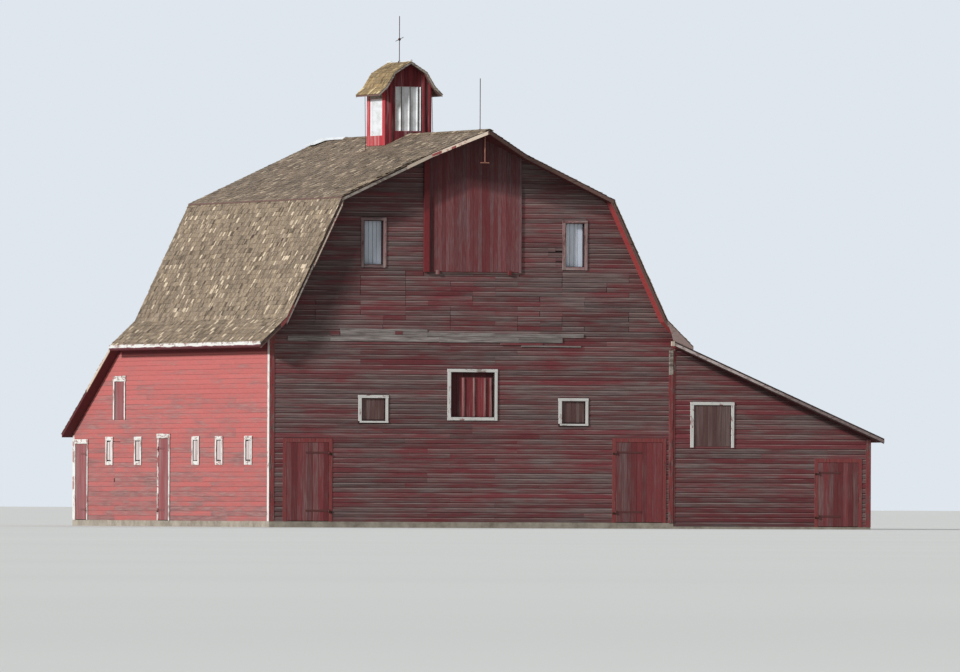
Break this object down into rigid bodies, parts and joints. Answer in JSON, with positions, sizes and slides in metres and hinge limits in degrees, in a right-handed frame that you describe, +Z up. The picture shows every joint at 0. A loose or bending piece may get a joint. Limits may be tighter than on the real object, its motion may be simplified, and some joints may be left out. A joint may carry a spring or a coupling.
{
  "type": "gambrel-roofed timber barn with two lean-tos",
  "caption": "Timber hay and stock barn with a flared gambrel roof, hay hood, roof vent, side and rear lean-tos, shuttered windows and hinged ground doors.",
  "frame": {"origin": "on the bottom of the foundation, under the middle of the front gable's wall face", "axes": "+X to the right along the front gable, +Y towards the rear, +Z up"},
  "size_m": [17.08, 16.125, 13.17],
  "materials": {
    "siding_dark": "weathered dark red paint on drop siding, worn to grey-brown wood",
    "siding_rose": "sun-faded rose red paint on drop siding",
    "trim_white": "peeling white paint",
    "door_red": "weathered red paint on upright boards",
    "door_rose": "faded mauve red paint on upright boards",
    "shutter_brown": "bare brown boards",
    "shingles": "weathered tan-grey wood shingles",
    "bare_wood": "grey unpainted wood",
    "vent_red": "red paint on board and batten",
    "metal_white": "white painted sheet",
    "concrete": "rough pale concrete",
    "dark_iron": "dark weathered iron"
  },
  "bodies": {
    "barn": {"foundation_ends": "concrete", "foundation_sides": "concrete", "front_wall_lower": "siding_dark", "front_wall_upper": "siding_dark", "left_wall": "siding_rose", "right_wall": "siding_dark", "rear_gable_wall": "siding_dark", "leanto_front_wall": "siding_dark", "leanto_side_wall": "siding_dark", "leanto_rear_wall": "siding_dark", "rear_leanto_wall": "siding_rose", "door_lintels": "siding_dark", "roof_upper_left": "shingles", "roof_upper_right": "shingles", "roof_lower_left": "shingles", "roof_lower_right": "shingles", "roof_flares": "shingles", "leanto_roof": "shingles", "rear_leanto_roof": "shingles", "ridge_flashing": "metal_white", "barge_boards": "bare_wood", "eave_fascias": "trim_white", "corner_boards": "trim_white", "door_trims": "door_red", "window_trims": "trim_white", "stall_window_boards": "trim_white", "upper_window_boards": "trim_white", "shutters": "shutter_brown", "hay_door": "door_red", "loft_doors": "door_red", "loft_floor": "bare_wood", "beams": "bare_wood", "posts": "bare_wood", "vent_sides": "vent_red", "vent_ends": "vent_red", "vent_roof": "shingles", "vent_panels": "metal_white", "roof_rods": "dark_iron", "hay_track": "dark_iron", "hinge_pins": "dark_iron"},
    "gable_door_left_body": {"gable_door_left": "door_red"},
    "gable_door_right_body": {"gable_door_right": "door_red"},
    "stable_door_middle_body": {"stable_door_middle": "door_rose"},
    "stable_door_rear_body": {"stable_door_rear": "door_rose"},
    "leanto_door_body": {"leanto_door": "door_red"}
  },
  "joints": [
    {"name": "gable_left_swing", "type": "hinge", "parent": "barn", "child": "gable_door_left_body", "pos_m": [-3.8975, -0.043, 1.15], "axis": [0, 0, 1], "range_deg": [0, 165]},
    {"name": "gable_right_swing", "type": "hinge", "parent": "barn", "child": "gable_door_right_body", "pos_m": [3.923, -0.043, 1.15], "axis": [0, 0, -1], "range_deg": [0, 165]},
    {"name": "stable_middle_swing", "type": "hinge", "parent": "barn", "child": "stable_door_middle_body", "pos_m": [-5.528, 8.21, 1.15], "axis": [0, 0, -1], "range_deg": [0, 165]},
    {"name": "stable_rear_swing", "type": "hinge", "parent": "barn", "child": "stable_door_rear_body", "pos_m": [-5.528, 13.74, 1.15], "axis": [0, 0, 1], "range_deg": [0, 165]},
    {"name": "leanto_swing", "type": "hinge", "parent": "barn", "child": "leanto_door_body", "pos_m": [9.5015, -0.043, 0.9], "axis": [0, 0, -1], "range_deg": [0, 165]}
  ]
}
